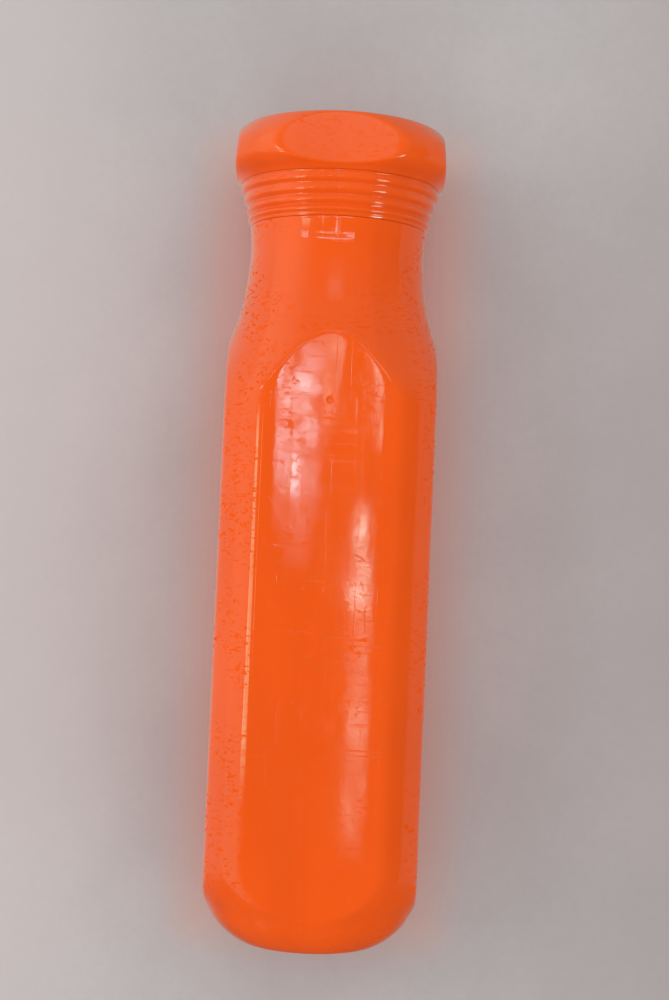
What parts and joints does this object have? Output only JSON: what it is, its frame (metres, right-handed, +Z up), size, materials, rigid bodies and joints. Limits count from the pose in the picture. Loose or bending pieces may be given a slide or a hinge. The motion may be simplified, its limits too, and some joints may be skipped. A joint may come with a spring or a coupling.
{
  "type": "folding-spout water bottle",
  "caption": "Rigid gloss plastic travel bottle with flat sides and a waisted neck; a ringed pull-off cover hides a screw lid with a fold-down drinking spout and straw.",
  "frame": {"origin": "centre of the standing ring, on the plane the bottle stands on", "axes": "+Z up along the bottle's axis; +X the way the folded spout points; -Y out of the front flat"},
  "size_m": [0.064, 0.064, 0.251],
  "materials": {
    "bottle_shell": "high gloss moulded, fine surface scratches",
    "cover_shell": "high gloss moulded",
    "lid_plastic": "satin",
    "straw_plastic": "translucent satin",
    "seal": "soft silicone",
    "soft_tip": "soft silicone",
    "steel": "drawn wire"
  },
  "bodies": {
    "bottle": {"bottle_body": "bottle_shell"},
    "lid_gasket": {"lid_gasket": "seal"},
    "lid": {"lid_collar": "lid_plastic", "straw": "straw_plastic", "spout_seat": "seal", "vent_valve": "seal", "hinge_pin_left": "steel", "hinge_pin_right": "steel", "spout_spring_left": "steel", "spout_spring_right": "steel", "cover_oring": "seal"},
    "spout": {"spout_arm": "lid_plastic", "spout_mouthpiece": "soft_tip"},
    "cover": {"cover_skirt": "cover_shell", "cover_crown": "cover_shell"}
  },
  "joints": [
    {"name": "lid_rise", "type": "slide", "parent": "bottle", "child": "lid_gasket", "axis": [0, 0, 1], "range_m": [0, 0.0082]},
    {"name": "lid_twist", "type": "hinge", "parent": "lid_gasket", "child": "lid", "pos_m": [0, 0, 0.2316], "axis": [0, 0, 1], "range_deg": [0, 720]},
    {"name": "cover_lift", "type": "slide", "parent": "lid", "child": "cover", "axis": [0, 0, 1], "range_m": [0, 0.06]},
    {"name": "spout_fold", "type": "hinge", "parent": "lid", "child": "spout", "pos_m": [-0.012, 0, 0.2413], "axis": [0, -1, 0], "range_deg": [0, 90.5]}
  ],
  "couplings": [
    {"joint": "lid_rise", "follows": "lid_twist", "m_per_rad": 0.00063662},
    {"joint": "spout_fold", "follows": "cover_lift", "rad_per_m": 26.18}
  ]
}
